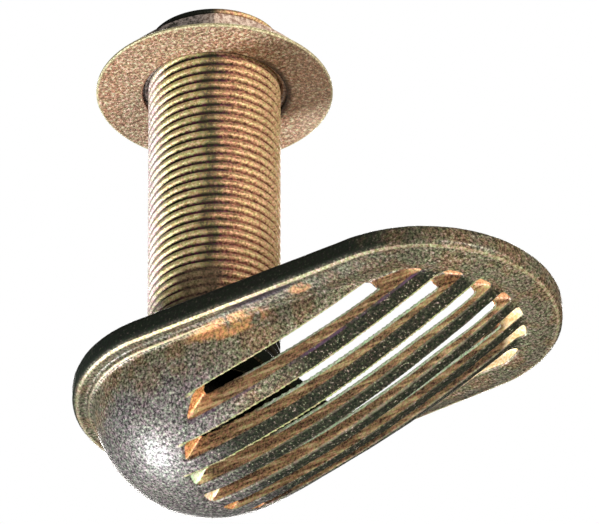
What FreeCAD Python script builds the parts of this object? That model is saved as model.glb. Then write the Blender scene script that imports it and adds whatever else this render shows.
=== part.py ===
import FreeCAD, Part
import math
import os

from FreeCAD import Vector

# A scoop strainer through-hull fitting: one bronze casting (oval flange, slotted scoop and threaded
# hollow stem), a flat washer and a hexagon nut. Millimetres.
# Origin: stem axis on the face that lies against the hull. +Z up the stem, +X along the scoop.

# Stem
stem_diameter = 26.67
stem_length = 83.4
stem_bore = 20.5
stem_end_chamfer = 0.6
thread_pitch = 2.0
thread_depth = 1.1
plain_shank = 0.5

# Flange
flange_stem_radius = 28.3
flange_tip_radius = 27.75
flange_reach = 50.7
flange_height = 5.0
flange_top_round = 1.2
flange_bottom_chamfer = 1.0

# Low pad under the scoop: crisp step round the stem end, long slope at the tip
pad_height = 1.1
pad_stem_margin = 3.2
pad_tip_margin = 4.55
pad_stem_run = 0.3
pad_tip_run = 3.0
pad_stem_radius = flange_stem_radius - pad_stem_margin
pad_tip_radius = flange_tip_radius - pad_tip_margin

# Scoop, outer form
scoop_pad_step = 0.7
scoop_half_width = pad_stem_radius - scoop_pad_step
scoop_tip_reach = 77.3
scoop_bottom = 27.2
scoop_root = 3.0
scoop_fall = 1.75
scoop_outline_power = 3.8
scoop_section_at_tip = 1.75
scoop_section_run = 60.0

# Scoop, hollow
scoop_wall = 1.9
scoop_floor = 4.0
hollow_tip_wall = 5.0
hollow_fall = 1.9
hollow_taper = 0.12
hollow_tip_lean = 0.55
deck_thickness = 3.2

# Opening towards the hull, beyond the stem
opening_stem_margin = 2.265
opening_start = stem_diameter / 2 + opening_stem_margin
opening_half_width = 24.2
opening_tip_reach = 65.4

# Grille
slot_count = 7
slot_pitch = 6.0
slot_width = 3.1
slot_ceiling = 3.6
slot_stem_end = 1.9
slot_stem_slope = 0.95
slot_run_out = 5.5
window_half_width = 20.5

# Washer and nut
stem_above_nut = 3.2
nut_height = 8.3
nut_wall = 1.665
nut_flats = stem_diameter + 2 * nut_wall
washer_clearance = 1.215
washer_width = 9.3
washer_thickness = 0.7
washer_edge = 0.15
washer_hole = stem_diameter + 2 * washer_clearance
washer_diameter = washer_hole + 2 * washer_width
washer_height = stem_length - stem_above_nut - nut_height - washer_thickness
nut_chamfer_angle = 30.0
nut_corner_angle = 4.6
nut_clearance = 0.06
nut_countersink = 0.5

# How finely the scoop's sections are spaced
section_count = 17
section_points = 21
first_section_angle = 3.0

# How far a cutting shape runs past the face that it cuts
overrun = 1.0


def stadium(stem_radius, tip_radius, reach, z):
    """Closed outline round a large circle at the stem and another at the tip."""
    lean = math.asin((stem_radius - tip_radius) / reach)
    across = math.cos(lean)
    along = math.sin(lean)
    stem_far = Vector(stem_radius * along, stem_radius * across, z)
    stem_near = Vector(stem_radius * along, -stem_radius * across, z)
    tip_far = Vector(reach + tip_radius * along, tip_radius * across, z)
    tip_near = Vector(reach + tip_radius * along, -tip_radius * across, z)
    edges = [
        Part.Arc(stem_far, Vector(-stem_radius, 0, z), stem_near).toShape(),
        Part.LineSegment(stem_near, tip_near).toShape(),
        Part.Arc(tip_near, Vector(reach + tip_radius, 0, z), tip_far).toShape(),
        Part.LineSegment(tip_far, stem_far).toShape(),
    ]
    return Part.Wire(edges)


def edges_at(shape, z):
    """The edges of a shape that lie wholly at one height."""
    found = []
    for edge in shape.Edges:
        box = edge.BoundBox
        if abs(box.ZMin - z) < 1e-6 and abs(box.ZMax - z) < 1e-6:
            found.append(edge)
    return found


def make_flange():
    outline = stadium(flange_stem_radius, flange_tip_radius, flange_reach, -flange_height)
    slab = Part.Face(outline).extrude(Vector(0, 0, flange_height))
    slab = slab.makeFillet(flange_top_round, edges_at(slab, 0.0))
    return slab.makeChamfer(flange_bottom_chamfer, edges_at(slab, -flange_height))


def make_pad():
    """Pad whose side is steep round the stem end and runs out in a slope at the tip."""
    foot = stadium(pad_stem_radius, pad_tip_radius, flange_reach, -flange_height - pad_height)
    root = stadium(pad_stem_radius + pad_stem_run, pad_tip_radius + pad_tip_run,
                   flange_reach, -flange_height)
    sides = Part.makeLoft([foot, root], True, True)
    core = Part.Face(foot).extrude(Vector(0, 0, pad_height + overrun))
    return sides.fuse(core)


def scoop_section(x, half_width, depth, section_power, top):
    """Closed cross-section of the scoop at one place along X, flat at its top."""
    points = []
    for i in range(section_points):
        angle = math.pi * i / (section_points - 1)
        y = half_width * math.cos(angle)
        z = top - depth * math.sin(angle) ** section_power
        points.append(Vector(x, y, z))
    curve = Part.BSplineCurve()
    curve.interpolate(points)
    lid = Part.LineSegment(points[-1], points[0])
    return Part.Wire([curve.toShape(), lid.toShape()])


def scoop_form(stem_reach, tip_reach, half_width, depth, top, fall, taper):
    """The scoop's solid form: a round bowl under the stem that runs out towards the tip.

    The larger fall is, the longer the bowl keeps its depth on the way to the tip. Its section
    is an ellipse under the stem, and taper makes it that much more pointed.
    """
    wires = []
    first = math.radians(first_section_angle)
    for i in range(section_count):
        angle = first + (math.pi - 2 * first) * i / (section_count - 1)
        along = -math.cos(angle)
        across = math.sin(angle)
        if along < 0:
            x = stem_reach * along
            here = depth * across
            power = 1.0 + taper
        else:
            across = math.sqrt(1 - along ** scoop_outline_power)
            x = tip_reach * along
            here = depth * (1 - along ** fall)
            along_run = min(1.0, x / scoop_section_run)
            power = 1.0 + taper + (scoop_section_at_tip - 1.0) * along_run
        wires.append(scoop_section(x, half_width * across, here, power, top))
    return Part.makeLoft(wires, True, False)


def egg_outline(reach, z):
    """Egg outline of the opening towards the hull, enlarged to a given reach."""
    half_width = opening_half_width * reach / opening_tip_reach
    egg = Part.Ellipse(Vector(reach, 0, z), Vector(0, half_width, z), Vector(0, 0, z))
    return Part.Wire([egg.toShape()])


def make_hollow():
    """Space inside the scoop, closed above by the deck, with a leaning wall at its tip."""
    bowl = scoop_form(scoop_half_width - scoop_wall, scoop_tip_reach - hollow_tip_wall,
                      scoop_half_width - scoop_wall, scoop_bottom - scoop_floor - deck_thickness,
                      -deck_thickness, hollow_fall, hollow_taper)
    foot = opening_tip_reach + hollow_tip_lean * (scoop_bottom - deck_thickness)
    egg = Part.makeLoft([egg_outline(foot, -scoop_bottom),
                         egg_outline(opening_tip_reach, -deck_thickness)], True, True)
    return bowl.common(egg)


def make_opening():
    """Opening towards the hull, cut straight across in front of the stem."""
    bottom = -deck_thickness - overrun
    block = Part.makeBox(opening_tip_reach, 2 * opening_half_width, overrun - bottom,
                         Vector(opening_start, -opening_half_width, bottom))
    egg = Part.Face(egg_outline(opening_tip_reach, bottom)).extrude(Vector(0, 0, overrun - bottom))
    return egg.common(block)


def make_slots():
    """Seven lengthwise slots that slope inwards at the stem and run out at the tip.

    At the tip they also end on the grille's rounded outline.
    """
    floor = -scoop_bottom - overrun
    ceiling = -slot_ceiling
    face = -flange_height - pad_height
    width = window_half_width
    far_stem_end = -slot_stem_end - overrun * slot_stem_slope
    near = Vector(far_stem_end, -width, floor)
    far = Vector(far_stem_end, width, floor)
    tip_near = Vector(flange_reach, -width, floor)
    tip_far = Vector(flange_reach, width, floor)
    window = Part.Wire([
        Part.LineSegment(far, near).toShape(),
        Part.LineSegment(near, tip_near).toShape(),
        Part.Arc(tip_near, Vector(flange_reach + width, 0, floor), tip_far).toShape(),
        Part.LineSegment(tip_far, far).toShape(),
    ])
    prism = Part.Face(window).extrude(Vector(0, 0, ceiling - floor))
    stem_top = -slot_stem_end + slot_stem_slope * (ceiling + scoop_bottom)
    slots = []
    for i in range(slot_count):
        y = (i - (slot_count - 1) / 2) * slot_pitch
        inner_side = max(0.0, abs(y) - slot_width / 2)
        tip = flange_reach + math.sqrt(width ** 2 - inner_side ** 2)
        side = y - slot_width / 2
        points = [
            Vector(far_stem_end, side, floor),
            Vector(stem_top, side, ceiling),
            Vector(tip - slot_run_out, side, ceiling),
            Vector(tip, side, face),
            Vector(tip, side, floor),
            Vector(far_stem_end, side, floor),
        ]
        strip = Part.Face(Part.makePolygon(points)).extrude(Vector(0, slot_width, 0))
        slots.append(prism.common(strip))
    return slots


def make_stem():
    """Hollow stem with ridges at the thread's pitch above a plain shank, turned from one profile."""
    crest = stem_diameter / 2
    root = crest - thread_depth
    inner = stem_bore / 2
    threaded_end = stem_length - stem_end_chamfer
    turns = int((threaded_end - plain_shank) / thread_pitch)
    start = threaded_end - turns * thread_pitch
    points = [Vector(inner, 0, -deck_thickness), Vector(crest, 0, -deck_thickness), Vector(crest, 0, start)]
    for i in range(turns):
        points.append(Vector(root, 0, start + (i + 0.5) * thread_pitch))
        points.append(Vector(crest, 0, start + (i + 1) * thread_pitch))
    points.append(Vector(crest - stem_end_chamfer, 0, stem_length))
    points.append(Vector(inner, 0, stem_length))
    points.append(points[0])
    profile = Part.Face(Part.makePolygon(points))
    return profile.revolve(Vector(0, 0, 0), Vector(0, 0, 1), 360)


def make_strainer():
    """The casting: flange, pad, scoop and stem in one piece."""
    body = make_flange().fuse(make_pad())
    scoop = scoop_form(scoop_half_width, scoop_tip_reach, scoop_half_width,
                       scoop_bottom - scoop_root, -scoop_root, scoop_fall, 0.0)
    body = body.fuse(scoop)
    body = body.cut(make_hollow())
    body = body.cut(make_opening())
    body = body.cut(make_slots())
    bore = Part.makeCylinder(stem_bore / 2, deck_thickness + 2 * overrun,
                             Vector(0, 0, -deck_thickness - overrun))
    body = body.cut(bore)
    return body.fuse(make_stem()).removeSplitter()


def make_washer():
    inner = washer_hole / 2
    outer = washer_diameter / 2
    edge = washer_edge
    top = washer_height + washer_thickness
    points = [
        Vector(inner, 0, washer_height),
        Vector(outer - edge, 0, washer_height),
        Vector(outer, 0, washer_height + edge),
        Vector(outer, 0, top - edge),
        Vector(outer - edge, 0, top),
        Vector(inner, 0, top),
        Vector(inner, 0, washer_height),
    ]
    return Part.Face(Part.makePolygon(points)).revolve(Vector(0, 0, 0), Vector(0, 0, 1), 360)


def make_nut():
    """Hexagon nut with its corners chamfered above and below."""
    base = washer_height + washer_thickness
    flats = nut_flats / 2
    corners = flats / math.cos(math.radians(30))
    points = []
    for i in range(7):
        angle = math.radians(nut_corner_angle + 60 * i)
        points.append(Vector(corners * math.cos(angle), corners * math.sin(angle), base))
    prism = Part.Face(Part.makePolygon(points)).extrude(Vector(0, 0, nut_height))
    drop = (corners - flats) * math.tan(math.radians(nut_chamfer_angle))
    bore = stem_diameter / 2 + nut_clearance
    sink = nut_countersink
    ring = [
        Vector(bore, 0, base + sink),
        Vector(bore + sink, 0, base),
        Vector(flats, 0, base),
        Vector(corners, 0, base + drop),
        Vector(corners, 0, base + nut_height - drop),
        Vector(flats, 0, base + nut_height),
        Vector(bore + sink, 0, base + nut_height),
        Vector(bore, 0, base + nut_height - sink),
        Vector(bore, 0, base + sink),
    ]
    turned = Part.Face(Part.makePolygon(ring)).revolve(Vector(0, 0, 0), Vector(0, 0, 1), 360)
    return prism.common(turned)


os.makedirs("parts", exist_ok=True)

pieces = {
    "strainer_body": make_strainer(),
    "washer": make_washer(),
    "hex_nut": make_nut(),
}

for name, shape in pieces.items():
    shape.exportStep(f"parts/{name}.step")
    print(name, shape.isValid(), len(shape.Solids), round(shape.Volume, 1), shape.BoundBox)
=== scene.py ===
import math
from types import SimpleNamespace

import bpy
import numpy as np
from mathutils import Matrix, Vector, noise


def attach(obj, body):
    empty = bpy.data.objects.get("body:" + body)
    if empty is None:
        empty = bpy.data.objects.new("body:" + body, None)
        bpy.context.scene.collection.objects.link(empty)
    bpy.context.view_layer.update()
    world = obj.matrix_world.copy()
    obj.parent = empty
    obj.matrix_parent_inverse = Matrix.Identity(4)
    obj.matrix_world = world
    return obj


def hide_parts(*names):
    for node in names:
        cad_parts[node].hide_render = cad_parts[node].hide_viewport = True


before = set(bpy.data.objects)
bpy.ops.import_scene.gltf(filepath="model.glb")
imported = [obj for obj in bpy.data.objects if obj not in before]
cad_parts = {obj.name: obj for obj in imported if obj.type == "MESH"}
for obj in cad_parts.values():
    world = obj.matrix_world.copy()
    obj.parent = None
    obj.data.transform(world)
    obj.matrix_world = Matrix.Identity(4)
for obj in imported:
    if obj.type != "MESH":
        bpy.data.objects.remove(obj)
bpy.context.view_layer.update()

MM = 0.001

# The flange, the scoop and the grille, in mm, as the part's source has them
FLANGE_HEIGHT = 5.0
FLANGE_REACH = 50.7
PAD_HEIGHT = 1.1
SCOOP_HALF_WIDTH = 24.4
SCOOP_TIP_REACH = 77.3
SCOOP_BOTTOM = 27.2
SCOOP_ROOT = 3.0
SCOOP_FALL = 1.75
SCOOP_OUTLINE_POWER = 3.8
SCOOP_SECTION_AT_TIP = 1.75
SCOOP_SECTION_RUN = 60.0
SCOOP_WALL = 1.9
SCOOP_FLOOR = 4.0
HOLLOW_TIP_WALL = 5.0
HOLLOW_FALL = 1.9
HOLLOW_TAPER = 0.12
HOLLOW_TIP_LEAN = 0.55
DECK_THICKNESS = 3.2
OPENING_HALF_WIDTH = 24.2
OPENING_TIP_REACH = 65.4
SLOT_PITCH = 6.0
SLOT_STEM_END = 1.9
SLOT_STEM_SLOPE = 0.95
WINDOW_HALF_WIDTH = 20.5

# Stem, in mm, and the shares of half a turn that its thread's root and flank take up
CREST = 13.335
BORE = 10.25
STEM_LENGTH = 83.4
STEM_CHAMFER = 0.6
STEM_FOOT = -1.0
BORE_CHAMFER = 0.3
THREAD_PITCH = 2.0
THREAD_DEPTH = 1.1
THREAD_START = 0.8
ROOT_SHARE = 0.06
FLANK_SHARE = 0.58

# How finely the stem and the casting are laid out, with lengths in mm
STEM_SIDES = 144
ROWS_PER_TURN = 10
SEAM_GAP = 0.002
CASTING_VOXEL = 0.36
CASTING_TRIANGLES = 188000

# Height in mm that the casting's stem is pressed down to, since the stem is a piece of its own
STUB_TOP = 0.3

# What the finish takes the stem's end for, between a root's 0 and a crest's 1
END_CREST = 0.7

# Unevenness of the cast faces: height in mm, and waves a metre with the share of each
WAVE_HEIGHT = 0.05
WAVE_MIDDLE = 0.3
WAVES = ((260, 1.0), (900, 0.5))

# Bars, in mm: how much higher they stand in the hollow than in the source, down to what depth
# under its face, and where along the scoop this ends
BAR_CROWN = 0.75
BAR_CROWN_DEPTH = 3.0
BAR_CROWN_END = 62.0
BAR_CROWN_RUN = 10.0

# Value of the distance to the hollow's face where there is no such face, in mm
NO_HOLLOW = 9.0

# Margins of the masks of the hollow and the grille: shares of their size, and mm at the stem end
EGG_MARGIN = 0.01
WINDOW_MARGIN = 0.05
WINDOW_FADE = 0.03
STEM_END_MARGIN = 1.4
STEM_END_FADE = 0.6

# How far in mm a place stands out from its neighbours where it counts as an edge
EDGE_HEIGHT = 0.05

# Places on the casting, each a centre and a reach in mm
RUBBED_PLACES = (
    ((20.0, -23.7, -7.0), (11.0, 2.6, 2.4)),
    ((38.2, -24.9, -5.6), (3.2, 1.3, 1.5)),
)
# Painted shadow: a dark band on the flange's margin
MARGIN_SHADOW_PLACE = ((29.5, -26.3, -5.0), (9.5, 1.1, 1.5))
SHADED_PAD = ((-20.5, -16.5, -6.0), (7.0, 12.0, 3.0))
SHADED_MARGIN = ((46.0, -23.5, -6.0), (26.0, 7.0, 5.0))

# Camera: the photo's scale and angle, how far in mm the picture's middle is right of and above the
# flange's underside on the stem's axis, lens and sensor in mm, and the clip's end in metres
PHOTO_WIDTH = 599
PIXELS_PER_MM = 5.006
CAMERA_AZIMUTH = 34.6
CAMERA_ELEVATION = -34.8
CENTRE_RIGHT = 17.13
CENTRE_UP = 28.67
CAMERA_LENS = 1400
SENSOR_WIDTH = 36
CAMERA_CLIP_END = 40

# Floor, in metres, far enough below for a camera that looks up from under the fitting
FLOOR_HALF = 30.0
FLOOR_DEPTH = 12.0

# Lights: direction, distance and size in metres, power and colour
LIT_POINT = (0.02, 0, 0.02)
SOFTBOXES = {
    "key": ((-0.714, -0.15, -0.683), 0.8, 0.22, 12.5, (0.97, 0.98, 1)),
    "fill": ((0.87, -0.32, -0.36), 0.9, 0.4, 15.0, (1, 0.92, 0.84)),
    "behind": ((-0.466, 0.676, 0.571), 0.9, 0.5, 14.0, (1, 0.97, 0.93)),
}
SKY_COLOR = (0.95, 0.97, 1, 1)
SKY_STRENGTH = 0.2


class Value:
    """A socket in a finish's node tree. Python's operators on it add Math nodes."""

    def __init__(self, finish, socket):
        self.finish = finish
        self.socket = socket

    def __add__(self, other):
        if isinstance(other, tuple):
            return self.finish.add("ShaderNodeVectorMath", {"operation": "ADD"}, {0: self, 1: other})
        return self.finish.math("ADD", self, other)

    def __radd__(self, other):
        return self.finish.math("ADD", other, self)

    def __sub__(self, other):
        return self.finish.math("SUBTRACT", self, other)

    def __rsub__(self, other):
        return self.finish.math("SUBTRACT", other, self)

    def __mul__(self, other):
        return self.finish.math("MULTIPLY", self, other)

    def __rmul__(self, other):
        return self.finish.math("MULTIPLY", other, self)

    def __truediv__(self, other):
        return self.finish.math("DIVIDE", self, other)

    def __abs__(self):
        return self.finish.math("ABSOLUTE", self)

    def rise(self, low, high):
        """0 below low, 1 above high, and a smooth step between them."""
        settings = {"interpolation_type": "SMOOTHSTEP"}
        inputs = {"Value": self, "From Min": low, "From Max": high}
        return self.finish.add("ShaderNodeMapRange", settings, inputs)

    def fall(self, low, high):
        """1 below low, 0 above high, and a smooth step between them."""
        return 1 - self.rise(low, high)

    def band(self, low, high, soft):
        """1 between low and high, falling off over soft on both sides."""
        return self.rise(low - soft, low) * self.fall(high, high + soft)


class Finish:
    """One material, and the calls that build its nodes. Its lengths are in mm."""

    def __init__(self, name):
        self.material = bpy.data.materials.new(name)
        self.material.use_nodes = True
        self.tree = self.material.node_tree
        self.shader = self.tree.nodes["Principled BSDF"]
        place = Value(self, self.tree.nodes.new("ShaderNodeTexCoord").outputs["Object"])
        scaled = {0: place, "Scale": 1 / MM}
        self.place = self.add("ShaderNodeVectorMath", {"operation": "SCALE"}, scaled)
        self.x, self.y, self.z = self.parts(self.place)
        normal = self.tree.nodes.new("ShaderNodeNewGeometry").outputs["Normal"]
        self.nx, self.ny, self.nz = self.parts(Value(self, normal))

    def add(self, kind, settings=None, inputs=None, output=0):
        """Any node: its settings first, then the values or links of its sockets."""
        node = self.tree.nodes.new(kind)
        for name, setting in (settings or {}).items():
            setattr(node, name, setting)
        for name, value in (inputs or {}).items():
            self.feed(node.inputs[name], value)
        return Value(self, node.outputs[output])

    def feed(self, socket, value):
        if isinstance(value, Value):
            self.tree.links.new(value.socket, socket)
        elif isinstance(value, tuple) and socket.type == "RGBA":
            socket.default_value = (*value, 1.0)
        else:
            socket.default_value = value

    def math(self, operation, *values):
        return self.add("ShaderNodeMath", {"operation": operation}, dict(enumerate(values)))

    def parts(self, vector):
        node = self.tree.nodes.new("ShaderNodeSeparateXYZ")
        self.feed(node.inputs[0], vector)
        return [Value(self, socket) for socket in node.outputs]

    def noise(self, scale, detail=3.0, roughness=0.6, place=None):
        """Noise from 0 to 1 with its scale in waves per mm."""
        inputs = {"Vector": place or self.place, "Scale": scale, "Detail": detail, "Roughness": roughness}
        return self.add("ShaderNodeTexNoise", None, inputs)

    def mix(self, factor, first, second):
        settings = {"data_type": "RGBA"}
        return self.add("ShaderNodeMix", settings, {0: factor, 6: first, 7: second}, 2)

    def multiply(self, first, second):
        settings = {"data_type": "RGBA", "blend_type": "MULTIPLY"}
        return self.add("ShaderNodeMix", settings, {0: 1.0, 6: first, 7: second}, 2)

    def grained(self, dark, pale):
        """A colour that goes from dark to pale with the finish's grain."""
        return self.mix(self.grain, dark, pale)

    def layered(self, color, layers):
        """A colour with layers on it, each a mask and its own colour."""
        for mask, paint in layers:
            color = self.mix(mask, color, paint)
        return color

    def stretched(self, factors):
        """The place with each of its axes scaled."""
        return self.add("ShaderNodeVectorMath", {"operation": "MULTIPLY"}, {0: self.place, 1: factors})

    def from_axis(self):
        """Distance from the stem's axis."""
        return self.math("SQRT", self.x * self.x + self.y * self.y)

    def outward(self):
        """Distance from the flange's middle line, which runs from the stem to the tip's centre."""
        past_tip = self.math("MAXIMUM", self.x - FLANGE_REACH, 0.0)
        along = past_tip + self.math("MINIMUM", self.x, 0.0)
        return self.math("SQRT", along * along + self.y * self.y)

    def across(self):
        """Distance from the stem's axis to the right, as the camera sees it."""
        return self.x * 0.823 + self.y * 0.568

    def spot(self, centre, reach):
        """1 at the centre of an ellipsoid, falling to 0 at its surface."""
        axes = zip((self.x, self.y, self.z), centre, reach)
        parts = [(place - middle) / far for place, middle, far in axes]
        squares = [part * part for part in parts]
        return (squares[0] + squares[1] + squares[2]).fall(0.35, 1.0)

    def attribute(self, name):
        return self.add("ShaderNodeAttribute", {"attribute_name": name}, None, "Fac")

    def bump(self, height, distance):
        inputs = {"Height": height, "Distance": distance, "Strength": 1.0}
        self.feed(self.shader.inputs["Normal"], self.add("ShaderNodeBump", None, inputs))

    def set(self, **values):
        for name, value in values.items():
            self.feed(self.shader.inputs[name.replace("_", " ")], value)
        return self.material


def casting_marks(f):
    """Masks for the parts of the casting, each from 0 to 1."""
    inward = f.attribute("inward")
    grille = f.attribute("grille")
    to_hollow = f.attribute("to_hollow")
    to_tip = f.attribute("to_tip")
    outward = f.outward()
    uneven = f.patch - 0.5

    # Bars: dark from some way past the slots' stem ends, later on the first bar
    past_first = f.y.rise(-13.0, -11.0)
    dark_from = f.x.rise(22.0, 36.0) * (1 - past_first) + f.x.rise(0.0, 14.0) * past_first
    dark_from = dark_from * abs(f.y).fall(19.2, 19.8) * (to_tip + uneven * 4).rise(-1.0, 2.0)
    bar = grille * inward.fall(0.15, 0.5) * dark_from

    # Slots: their side walls, sloping stem ends, tips and the walls' edge by the hollow
    cut = inward.rise(0.2, 0.45)
    wall = cut * abs(f.ny).rise(0.55, 0.8) * grille
    stem_end = cut * f.nx.rise(0.45, 0.65) * grille * f.x.fall(24.0, 26.0)
    tip_slope = cut * grille * (0 - f.nx).rise(0.22, 0.36) * f.x.rise(40.0, 44.0)
    tip_wall = wall * to_tip.fall(3.5, 6.0) * f.y.rise(3.5, 4.0)
    last_slot = wall * f.y.rise(17.0, 17.5) * f.x.rise(36.0, 42.0)
    tip = f.math("MAXIMUM", f.math("MAXIMUM", tip_slope, tip_wall), last_slot)
    by_hollow = wall * to_hollow.fall(0.7, 1.0) * f.x.rise(16.0, 22.0) * (1 - tip)

    # Lines along the bars' edges: on the first three slots' near side, and on the first one's far side
    across_slot = f.math("FLOORED_MODULO", f.y, SLOT_PITCH)
    near_edge = across_slot.band(4.1, 4.4, 0.1) * grille * f.y.fall(-3.2, -3.0)
    far_edge = across_slot.band(1.5, 1.85, 0.1) * grille * f.y.fall(-14.2, -14.0)

    # Inside: the hollow's faces and the side of the opening through the deck, which get painted shade
    hollow = to_hollow.fall(-0.25, -0.1) * f.z.fall(-3.1, -3.0)
    throat = outward.fall(24.5, 24.8) * f.z.rise(-3.3, -3.1) * f.nz.fall(0.4, 0.7)
    inside = f.math("MAXIMUM", hollow, throat)
    far_end = inside * f.x.rise(52.0, 58.0)

    # Flange: its rim, the lip along the rim's foot and the pad's step, with painted shade on the rim's side,
    # painted highlights on the lip and the step, and places in painted shade
    rim = f.z.band(-4.3, -0.4, 0.5) * abs(f.nz).fall(0.6, 0.85) * outward.rise(26.2, 26.8)
    # Painted shade: the rim's side near black, less so towards the tip
    rim_shade = rim * (1 - 0.75 * (f.x + uneven * 20).rise(50.0, 74.0))
    # Painted highlight: a bright line along the rim's foot
    lip_highlight = f.z.band(-4.9, -4.65, 0.1) * abs(f.nz).fall(0.97, 0.995) * outward.rise(25.6, 26.0)
    # Painted highlight: a bright line along the pad's step
    step = outward.band(24.85, 25.1, 0.1) * f.z.fall(-5.8, -5.6) * f.x.fall(32.0, 38.0)
    shaded = outward.band(25.3, 28.0, 0.3) * f.x.band(-4.0, 44.0, 12.0) * (1 - lip_highlight)
    shaded = shaded + f.spot(*SHADED_PAD) * 0.7 + f.spot(*SHADED_MARGIN) * (1 - grille)

    return SimpleNamespace(
        bar=bar, wall=wall, stem_end=stem_end, tip=tip, by_hollow=by_hollow, near_edge=near_edge,
        far_edge=far_edge, inside=inside - far_end, far_end=far_end, rim=rim, rim_shade=rim_shade,
        lip_highlight=lip_highlight, step=step, shaded=f.math("MINIMUM", shaded, 1.0), edge=f.attribute("edge").rise(0.3, 1.2))


def face_layers(f):
    """Brown patches, the scoop's worn grey dome, pale specks, the rubbed places and a painted shadow on the
    flange's margin.
    """
    worn = (f.z + (f.patch - 0.5) * 8).fall(-15.0, -8.0) * f.x.fall(8.0, 22.0)
    rubbed = f.spot(*RUBBED_PLACES[0]) + f.spot(*RUBBED_PLACES[1])
    rubbed = rubbed * f.patch.rise(0.38, 0.52) * (0.35 + 0.65 * f.grain)
    brown = f.grained((0.045, 0.025, 0.012), (0.3, 0.185, 0.09))
    grey = f.grained((0.022, 0.02, 0.022), (0.205, 0.195, 0.19))
    speck_color = (0.6, 0.57, 0.48)
    copper = (0.68, 0.34, 0.13)
    purple = (0.03, 0.018, 0.035)
    return [
        (f.patch.rise(0.44, 0.6) * 0.6, brown),
        (worn * 0.85, grey),
        (f.speck * 0.55, speck_color),
        (rubbed, copper),
        # Painted shadow on the flange's margin
        (f.spot(*MARGIN_SHADOW_PLACE) * 0.85, purple),
    ]


def bar_layers(f, marks):
    """Soot with pale specks on the bars, and thin lines along some of their edges."""
    specks = f.speck * (0.35 + 0.65 * f.patch.rise(0.4, 0.6))
    soot = f.mix(specks, f.grained((0.003, 0.006, 0.003), (0.02, 0.022, 0.014)), (0.34, 0.32, 0.24))
    yellow_green = (0.5, 0.5, 0.24)
    purple = (0.09, 0.04, 0.1)
    return [
        (marks.bar * 0.95, soot),
        (marks.near_edge * (0.3 + 0.5 * f.grain), yellow_green),
        (marks.far_edge * f.patch.rise(0.4, 0.6) * 0.5, purple),
    ]


def slot_layers(f, marks, rust):
    """Streaky copper walls, ends in orange, pale green and cream, and a pale green edge inside."""
    streaks = f.noise(1.0, 2.0, 0.6, f.stretched((0.12, 1.0, 1.0)))
    mottle = f.grain * 0.55 + streaks.rise(0.42, 0.58) * 0.45
    copper = f.layered(f.mix(mottle, (0.03, 0.014, 0.012), (0.48, 0.29, 0.14)), [
        (streaks.rise(0.56, 0.64) * (0.3 + 0.5 * f.grain), (0.66, 0.56, 0.3)),
        (f.y.rise(5.0, 10.0) * 0.25, (0.01, 0.008, 0.005)),
    ])
    orange = f.grained((0.32, 0.12, 0.04), (0.78, 0.42, 0.18))
    end_color = f.layered(orange, [
        (f.y.rise(-9.0, -8.5), f.grained((0.5, 0.62, 0.42), (0.85, 1.0, 0.78))),
        (f.y.rise(-3.0, -2.5), f.grained((0.75, 0.5, 0.28), (1.0, 0.95, 0.8))),
        (f.y.rise(3.0, 3.5), orange),
    ])
    cream = f.grained((0.78, 0.56, 0.26), (1.0, 0.9, 0.66))
    pale_green = f.grained((0.3, 0.4, 0.27), (0.7, 0.85, 0.66))
    return [
        (marks.wall * 0.95, copper),
        (marks.stem_end, end_color),
        (marks.tip, f.mix(f.y.rise(1.0, 4.0), rust, cream)),
        (marks.by_hollow, pale_green),
    ]


def hollow_layers(f, marks, rust):
    """Painted shade in near black inside, with rust at the hollow's far end."""
    return [
        # Painted shade: near black over the hollow's faces and the opening's side
        (marks.inside, (0.006, 0.009, 0.005)),
        (marks.far_end, f.mix(f.patch.rise(0.4, 0.6), rust, (0.05, 0.025, 0.014))),
    ]


def edge_layers(f, marks):
    """Rim's side painted dark as shade, painted highlights on the lip and step, rubbed edges and a few
    places in shade.
    """
    black = f.mix(f.speck * 0.5, (0.01, 0.014, 0.009), (0.12, 0.11, 0.08))
    bright = f.grained((0.5, 0.4, 0.2), (0.9, 0.82, 0.55))
    # How strong the painted highlight on the lip is along the flange
    lip_highlight_strength = 0.25 + 0.45 * f.x.rise(-20.0, 5.0) - 0.4 * f.x.rise(50.0, 68.0)
    # How strong the painted highlight on the pad's step is along the flange
    step_highlight_strength = 0.15 + 0.4 * f.x.rise(-15.0, 5.0)
    return [
        (marks.rim_shade, black),
        (marks.lip_highlight * lip_highlight_strength, bright),
        (marks.step * step_highlight_strength, (0.8, 0.66, 0.42)),
        (marks.edge * 0.25 * (1 - marks.rim), (0.6, 0.55, 0.38)),
        (marks.shaded * 0.42, (0.01, 0.01, 0.006)),
    ]


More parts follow.
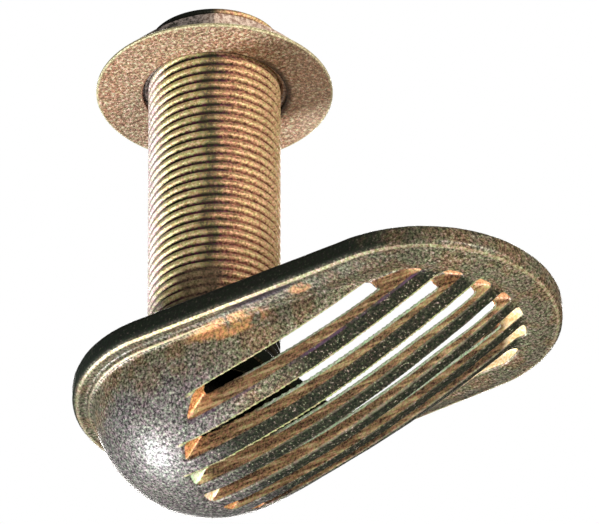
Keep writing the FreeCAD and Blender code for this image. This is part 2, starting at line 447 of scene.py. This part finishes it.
def cast_bronze():
    """Weathered casting: mottled grey-brown, dark on the bars, copper in its slots, with painted shade on
    the rim's side and inside the hollow, and painted highlights on the lip and the pad's step.
    """
    f = Finish("cast_bronze")
    fine = f.noise(1.8, 2.5, 0.75)
    red_green = f.noise(1.5, 2.0, 0.6, f.place + (31.0, 17.0, 5.0)).rise(0.36, 0.64)
    f.patch = f.noise(0.16, 3.0, 0.6)
    f.grain = fine.rise(0.36, 0.64)
    f.speck = fine.rise(0.6, 0.68)
    marks = casting_marks(f)
    rust = f.grained((0.3, 0.12, 0.05), (0.8, 0.42, 0.2))
    layers = (face_layers(f) + bar_layers(f, marks) + slot_layers(f, marks, rust)
              + hollow_layers(f, marks, rust) + edge_layers(f, marks))
    color = f.layered(f.grained((0.02, 0.02, 0.01), (0.235, 0.21, 0.135)), layers)
    tint = f.mix(red_green, (0.84, 1.02, 0.84), (1.06, 0.88, 1.02))
    color = f.multiply(color, f.mix(marks.tip, tint, (1.0, 0.96, 0.92)))
    f.bump(fine * 0.7 + f.patch * 0.6, 0.0002)
    dull = f.math("MAXIMUM", f.math("MAXIMUM", marks.inside, marks.bar), marks.rim_shade * 0.8)
    return f.set(
        Base_Color=color,
        Metallic=(1 - dull) * (1 - marks.tip) * 0.35,
        Roughness=0.52 + dull * 0.3,
        Specular_IOR_Level=0.1,
        Coat_Weight=(1 - dull) * (0.12 + 0.6 * f.grain),
        Coat_Roughness=0.36,
        Coat_IOR=1.6)


def threaded_bronze():
    """Machined stem: yellow crests and purple roots on its left, red-brown on its right, painted as light
    from the left and from the right, with a painted shade streak between them, painted shade low down, at
    its end and in its bore.
    """
    f = Finish("threaded_bronze")
    fine = f.noise(1.8, 2.5, 0.75)
    red_green = f.noise(1.5, 2.0, 0.6, f.place + (11.0, 7.0, 3.0)).rise(0.38, 0.62)
    patch = f.noise(0.3, 2.5, 0.6)
    f.grain = fine.rise(0.34, 0.66)
    across = f.across() + (patch - 0.5) * 7 + (fine - 0.5) * 3
    left_highlight = across.fall(-13.0, -9.5)
    # Painted light: crests pale yellow on the left, red-brown in the middle, tan on the right, with a
    # painted highlight on the far left
    crest_color = f.layered(f.grained((0.45, 0.34, 0.13), (0.9, 0.8, 0.46)), [
        (across.rise(-2.5, 2.5), f.grained((0.22, 0.1, 0.055), (0.66, 0.42, 0.24))),
        (across.rise(2.5, 8.0), f.grained((0.42, 0.24, 0.11), (0.92, 0.68, 0.38))),
        (left_highlight, f.grained((0.5, 0.36, 0.34), (0.92, 0.84, 0.78))),
    ])
    # Painted light: roots dark on the left, red-brown on the right, pale on the far left
    root_color = f.layered(f.mix(red_green, (0.02, 0.028, 0.016), (0.085, 0.02, 0.045)), [
        (across.rise(0.0, 5.0), f.grained((0.1, 0.04, 0.03), (0.42, 0.2, 0.12))),
        (left_highlight, (0.3, 0.16, 0.17)),
    ])
    crest = (f.attribute("crest") + (fine - 0.5) * 0.55).rise(0.38, 0.78)
    # Painted shade: a dark streak down the stem between its lit left and right
    shade_streak = abs(across + 0.8).fall(0.4, 2.8) * (0.35 + 0.65 * fine.rise(0.38, 0.56))
    color = f.mix(crest, root_color, crest_color)
    color = f.mix(shade_streak * 0.88, color, (0.03, 0.028, 0.018))
    color = f.multiply(color, f.mix(red_green, (0.72, 0.84, 0.7), (0.86, 0.72, 0.8)))
    # Painted shade on the left of the stem's end above the nut
    top_shade = f.z.rise(80.0, 80.4) * f.across().fall(-1.0, 2.0)
    # Painted shade on the stem above the flange, left of the middle; it also makes the stem duller there
    base_shade = (f.z + (patch - 0.5) * 6).band(11.0, 18.5, 3.0) * across.band(-6.0, 0.5, 2.5)
    color = f.layered(color, [
        (top_shade, (0.012, 0.014, 0.01)),
        (base_shade * 0.85, f.grained((0.014, 0.014, 0.01), (0.16, 0.1, 0.06))),
        # Painted shade: near black on the stem low down, under the flange
        (f.z.fall(11.0, 13.5) * 0.96, (0.014, 0.016, 0.011)),
        # Painted shade: dark inside the bore
        (f.from_axis().fall(BORE + 0.35, BORE + 0.65), (0.02, 0.018, 0.012)),
    ])
    f.bump(fine, 0.0002)
    return f.set(
        Base_Color=color,
        Metallic=0.45 - base_shade * 0.3,
        Roughness=0.45 + base_shade * 0.2,
        Specular_IOR_Level=0.2)


def washer_bronze():
    """Flat washer: orange-brown with a coarse bright grain, painted shade in the hole and right of it, and
    painted light towards its right.
    """
    f = Finish("washer_bronze")
    fine = f.noise(1.7, 2.5, 0.8)
    coarse = f.noise(1.3, 2.0, 0.7, f.place + (5.0, 9.0, 2.0))
    red_green = f.noise(1.4, 2.0, 0.6, f.place + (11.0, 7.0, 3.0)).rise(0.38, 0.62)
    patch = f.noise(0.09, 2.0)
    f.grain = fine.rise(0.36, 0.64)
    away = f.from_axis()
    color = f.layered(f.grained((0.16, 0.08, 0.04), (0.62, 0.38, 0.22)), [
        (patch.rise(0.42, 0.6) * 0.5, f.grained((0.14, 0.1, 0.06), (0.6, 0.46, 0.32))),
        (coarse.rise(0.52, 0.64) * 0.6, (0.96, 0.84, 0.62)),
        (coarse.fall(0.36, 0.45) * 0.55, (0.11, 0.05, 0.028)),
    ])
    color = f.multiply(color, f.mix(red_green, (0.7, 0.8, 0.7), (0.84, 0.69, 0.74)))
    # Painted shade in the hole's wall, darker on the right
    hole = f.mix(f.across().rise(-8.0, 2.0), (0.2, 0.09, 0.05), (0.02, 0.014, 0.01))
    # Painted shadow of the stem on the washer, right of the hole
    near_hole = away.fall(15.0, 16.2) * f.across().rise(7.0, 10.0)
    color = f.layered(color, [
        (away.rise(23.35, 23.6) * 0.5, f.grained((0.4, 0.4, 0.2), (0.75, 0.8, 0.5))),
        (away.fall(14.6, 14.9), hole),
        # Painted light: paler towards the right
        (f.across().rise(12.0, 20.0) * 0.12, (1.0, 0.8, 0.6)),
        (near_hole * 0.8, (0.03, 0.02, 0.014)),
    ])
    f.bump(fine, 0.0003)
    return f.set(Base_Color=color, Metallic=0.45, Roughness=0.5)


def nut_bronze():
    """Machined nut: pinkish tan, with painted shade on its left."""
    f = Finish("nut_bronze")
    fine = f.noise(1.1, 3.0, 0.8)
    f.grain = fine.rise(0.36, 0.64)
    tan = f.grained((0.33, 0.2, 0.15), (0.9, 0.74, 0.6))
    dark = f.grained((0.03, 0.03, 0.02), (0.5, 0.42, 0.38))
    f.bump(fine, 0.0002)
    # Painted shade: dark on the nut's left
    return f.set(Base_Color=f.mix(f.across().fall(-4.0, 1.5), tan, dark), Metallic=0.45, Roughness=0.42)


def vertex_vectors(mesh, name):
    """A vector of each vertex as rows: co for its place and normal for its normal."""
    flat = np.zeros(len(mesh.vertices) * 3, np.float32)
    mesh.vertices.foreach_get(name, flat)
    return flat.reshape(-1, 3).astype(float)


def move_to(mesh, places):
    mesh.vertices.foreach_set("co", places.astype(np.float32).ravel())
    mesh.update()


def store(mesh, name, values):
    layer = mesh.attributes.new(name, "FLOAT", "POINT")
    layer.data.foreach_set("value", values.astype(np.float32))


def baked(piece):
    """The piece's mesh with its modifiers applied."""
    bpy.context.view_layer.update()
    depsgraph = bpy.context.evaluated_depsgraph_get()
    mesh = bpy.data.meshes.new_from_object(piece.evaluated_get(depsgraph), depsgraph=depsgraph)
    piece.modifiers.clear()
    piece.data = mesh
    return mesh


def linked(thing):
    """A new object that is now in the scene."""
    bpy.context.scene.collection.objects.link(thing)
    return thing


def new_piece(name, mesh):
    return linked(bpy.data.objects.new(name, mesh))


def average_of_neighbours(mesh, values):
    """For each vertex, the mean of values over the vertices that it shares an edge with."""
    pairs = np.zeros(len(mesh.edges) * 2, np.int32)
    mesh.edges.foreach_get("vertices", pairs)
    a, b = pairs.reshape(-1, 2).T
    count = np.bincount(a, minlength=len(values)) + np.bincount(b, minlength=len(values))
    total = np.zeros_like(values)
    np.add.at(total, a, values[b])
    np.add.at(total, b, values[a])
    return total / np.maximum(count, 1).reshape(-1, *[1] * (values.ndim - 1))


def scoop_depth(x, y, half_width, tip_reach, depth, fall, taper):
    """Depth of a scoop's face below its top, in mm, over any place inside its outline."""
    stem_side = x < 0
    along = np.where(stem_side, -x / half_width, x / tip_reach).clip(0, 0.9999)
    across = np.where(stem_side, np.sqrt(1 - along**2), np.sqrt(1 - along**SCOOP_OUTLINE_POWER))
    here = depth * np.where(stem_side, across, 1 - along**fall)
    along_run = (x / SCOOP_SECTION_RUN).clip(0, 1)
    power = 1 + taper + (SCOOP_SECTION_AT_TIP - 1) * along_run
    sideways = (np.abs(y) / (half_width * across)).clip(0, 1)
    return here * np.sqrt(1 - sideways**2) ** power


def scoop_face(x, y):
    """Height of the scoop's outer face, in mm."""
    depth = SCOOP_BOTTOM - SCOOP_ROOT
    return -SCOOP_ROOT - scoop_depth(x, y, SCOOP_HALF_WIDTH, SCOOP_TIP_REACH, depth, SCOOP_FALL, 0.0)


def hollow_face(x, y):
    """Height of the hollow's lower face, in mm."""
    half_width = SCOOP_HALF_WIDTH - SCOOP_WALL
    depth = SCOOP_BOTTOM - SCOOP_FLOOR - DECK_THICKNESS
    tip_reach = SCOOP_TIP_REACH - HOLLOW_TIP_WALL
    return -DECK_THICKNESS - scoop_depth(x, y, half_width, tip_reach, depth, HOLLOW_FALL, HOLLOW_TAPER)


def inside_egg(x, y, z):
    """True inside the egg outline of the hollow, whose wall at the tip leans."""
    reach = OPENING_TIP_REACH - HOLLOW_TIP_LEAN * (z + DECK_THICKNESS)
    half_width = OPENING_HALF_WIDTH * reach / OPENING_TIP_REACH
    return np.hypot(x / reach, y / half_width) < 1 + EGG_MARGIN


def slot_start(z):
    """Place along X, in mm, of the slots' sloping stem ends at a height."""
    return SLOT_STEM_SLOPE * (z + SCOOP_BOTTOM) - SLOT_STEM_END


def inside_window(x, y, z):
    """1 inside the grille's outline, with a margin, and 0 outside it."""
    away = np.hypot((x - FLANGE_REACH).clip(0), y) / WINDOW_HALF_WIDTH
    sides = ((1 + WINDOW_MARGIN - away) / WINDOW_FADE).clip(0, 1)
    stem_end = ((x - slot_start(z) + STEM_END_MARGIN) / STEM_END_FADE).clip(0, 1)
    return np.minimum(sides, stem_end)


def softened(piece):
    """The piece's mesh with its edges rounded, as sand leaves them, at an even fineness."""
    remesh = piece.modifiers.new("remesh", "REMESH")
    remesh.mode = "VOXEL"
    remesh.voxel_size = CASTING_VOXEL * MM
    smooth = piece.modifiers.new("smooth", "SMOOTH")
    smooth.factor = 0.5
    smooth.iterations = 2
    mesh = baked(piece)
    triangles = sum(len(face.vertices) - 2 for face in mesh.polygons)
    if triangles > CASTING_TRIANGLES:
        thin = piece.modifiers.new("thin", "DECIMATE")
        thin.ratio = CASTING_TRIANGLES / triangles
        mesh = baked(piece)
    return mesh


def make_casting():
    """Flange and scoop with the rounded edges and slight unevenness of a sand casting."""
    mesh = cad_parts["strainer_body"].data.copy()
    places = vertex_vectors(mesh, "co")
    places[:, 2] = np.minimum(places[:, 2], STUB_TOP * MM)
    move_to(mesh, places)
    piece = new_piece("scoop_and_flange", mesh)
    mesh = softened(piece)

    places = vertex_vectors(mesh, "co")
    facing = vertex_vectors(mesh, "normal")
    x, y, z = (places / MM).T
    below_deck = z < -DECK_THICKNESS
    to_hollow = np.where(below_deck & inside_egg(x, y, z), hollow_face(x, y) - z, NO_HOLLOW)
    grille = inside_window(x, y, z) * below_deck

    waves = np.array([sum(share * noise.noise(Vector(p) * count) for count, share in WAVES) for p in places])
    moved = places + facing * (WAVE_HEIGHT * MM * (waves - WAVE_MIDDLE))[:, None]
    crown = (1 - to_hollow / BAR_CROWN_DEPTH).clip(0, 1) * (to_hollow > -0.5)
    crown *= grille * ((BAR_CROWN_END - x) / BAR_CROWN_RUN).clip(0, 1)
    moved[:, 2] += BAR_CROWN * MM * crown
    move_to(mesh, moved)

    pull = average_of_neighbours(mesh, moved) - moved
    convex = -(pull * facing).sum(1) / MM
    for _ in range(2):
        convex = 0.5 * convex + 0.5 * average_of_neighbours(mesh, convex)
    outer_face = np.minimum(scoop_face(x, y), -FLANGE_HEIGHT - PAD_HEIGHT)
    window_end = FLANGE_REACH + np.sqrt((WINDOW_HALF_WIDTH**2 - y**2).clip(0))
    store(mesh, "edge", convex / EDGE_HEIGHT)
    store(mesh, "inward", z - outer_face)
    store(mesh, "to_hollow", to_hollow)
    store(mesh, "to_tip", window_end - x)
    store(mesh, "grille", grille)
    mesh.shade_smooth()
    return piece


def thread_height(turns):
    """Share of the thread's depth, 0 at a root and 1 at a crest, over its phase in turns."""
    phase = np.abs((turns % 1.0) - 0.5) * 2
    return ((phase - ROOT_SHARE) / FLANK_SHARE).clip(0, 1)


def ring(radius, z, around):
    """Places in mm round a circle, with the first one again at the end."""
    angle = 2 * math.pi * around
    return np.stack([radius * np.cos(angle), radius * np.sin(angle), z + 0 * angle], -1)


def make_stem():
    """Hollow stem with its right-hand helical thread, a plain shank below and a chamfered end."""
    low = THREAD_START
    high = STEM_LENGTH - STEM_CHAMFER
    around = np.arange(STEM_SIDES + 1) / STEM_SIDES
    turns = np.arange(-1.0, (high - low) / THREAD_PITCH + 1.0, 1 / ROWS_PER_TURN)
    foot = [(BORE, STEM_FOOT), (CREST, STEM_FOOT), (CREST, low)]
    end = [
        (CREST - THREAD_DEPTH * 0.5, high),
        (CREST - THREAD_DEPTH * 0.8, STEM_LENGTH),
        (BORE + BORE_CHAMFER, STEM_LENGTH),
        (BORE, STEM_LENGTH - BORE_CHAMFER),
        (BORE, STEM_FOOT),
    ]
    rows = [ring(radius, z, around) for radius, z in foot]
    crest = [np.ones(STEM_SIDES + 1) for _ in foot]
    for turn in turns:
        z = low + (turn + around) * THREAD_PITCH
        run_out = ((z - low) / THREAD_PITCH).clip(0, 1)
        height = 1 - (1 - thread_height(turn)) * run_out
        rows.append(ring(CREST - THREAD_DEPTH * (1 - height), z.clip(low, high), around))
        crest.append(height)
    rows += [ring(radius, z, around) for radius, z in end]
    crest += [np.full(STEM_SIDES + 1, END_CREST) for _ in end]

    width = STEM_SIDES + 1
    faces = []
    for j in range(len(rows) - 1):
        for i in range(STEM_SIDES):
            a = j * width + i
            faces.append((a, a + 1, a + width + 1, a + width))
    mesh = bpy.data.meshes.new("threaded_stem")
    mesh.from_pydata((np.concatenate(rows) * MM).tolist(), [], faces)
    mesh.update()
    store(mesh, "crest", np.concatenate(crest))
    piece = new_piece("threaded_stem", mesh)
    weld = piece.modifiers.new("weld", "WELD")
    weld.merge_threshold = SEAM_GAP * MM
    mesh = baked(piece)
    mesh.shade_smooth()
    return piece


bronze = cast_bronze()
casting = make_casting()
casting.data.materials.clear()
casting.data.materials.append(bronze)
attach(casting, "fitting")
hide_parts("strainer_body")

stem = make_stem()
stem.data.materials.append(threaded_bronze())
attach(stem, "fitting")
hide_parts("strainer_body")

for node, finish in (("washer", washer_bronze()), ("hex_nut", nut_bronze())):
    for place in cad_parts[node].material_slots:
        place.material = finish


def make_floor():
    mesh = bpy.data.meshes.new("floor")
    half = FLOOR_HALF
    corners = [(-half, -half, 0), (half, -half, 0), (half, half, 0), (-half, half, 0)]
    mesh.from_pydata(corners, [], [(0, 1, 2, 3)])
    floor = new_piece("floor", mesh)
    floor.location.z = -FLOOR_DEPTH
    finish = Finish("pale_floor")
    mesh.materials.append(finish.set(Base_Color=(0.85, 0.85, 0.85), Roughness=0.8))


def direction(azimuth, elevation):
    a = math.radians(azimuth)
    e = math.radians(elevation)
    return Vector((math.sin(a) * math.cos(e), -math.cos(a) * math.cos(e), math.sin(e)))


def make_camera():
    """Long lens at the photo's angle, with the object as large as in the photo."""
    back = direction(CAMERA_AZIMUTH, CAMERA_ELEVATION)
    turn = back.to_track_quat("Z", "Y")
    right = turn @ Vector((1, 0, 0))
    up = turn @ Vector((0, 1, 0))
    target = Vector((0, 0, -FLANGE_HEIGHT)) + CENTRE_RIGHT * right + CENTRE_UP * up
    data = bpy.data.cameras.new("camera")
    data.lens = CAMERA_LENS
    data.sensor_width = SENSOR_WIDTH
    data.clip_end = CAMERA_CLIP_END
    distance = CAMERA_LENS / SENSOR_WIDTH * PHOTO_WIDTH / PIXELS_PER_MM
    camera = linked(bpy.data.objects.new("camera", data))
    camera.rotation_euler = turn.to_euler()
    camera.location = (target + back * distance) * MM
    bpy.context.scene.camera = camera


def make_softbox(name, toward, distance, size, power, color):
    """Square area light that stands in the given direction and shines at the fitting."""
    data = bpy.data.lights.new(name, "AREA")
    data.size = size
    data.energy = power
    data.color = color
    light = linked(bpy.data.objects.new(name, data))
    toward = Vector(toward).normalized()
    light.location = Vector(LIT_POINT) + toward * distance
    light.rotation_euler = toward.to_track_quat("Z", "Y").to_euler()
    light.visible_camera = False


def make_world():
    """White to the camera, and a softer pale light on the object."""
    world = bpy.data.worlds.new("world")
    bpy.context.scene.world = world
    world.use_nodes = True
    tree = world.node_tree
    tree.nodes.clear()
    seen = tree.nodes.new("ShaderNodeBackground")
    seen.inputs["Color"].default_value = (1, 1, 1, 1)
    light = tree.nodes.new("ShaderNodeBackground")
    light.inputs["Color"].default_value = SKY_COLOR
    light.inputs["Strength"].default_value = SKY_STRENGTH
    path = tree.nodes.new("ShaderNodeLightPath")
    mix = tree.nodes.new("ShaderNodeMixShader")
    output = tree.nodes.new("ShaderNodeOutputWorld")
    tree.links.new(path.outputs["Is Camera Ray"], mix.inputs[0])
    tree.links.new(light.outputs[0], mix.inputs[1])
    tree.links.new(seen.outputs[0], mix.inputs[2])
    tree.links.new(mix.outputs[0], output.inputs[0])


make_floor()
make_camera()
for name, setup in SOFTBOXES.items():
    make_softbox(name, *setup)
make_world()
bpy.context.scene.view_settings.view_transform = "Standard"
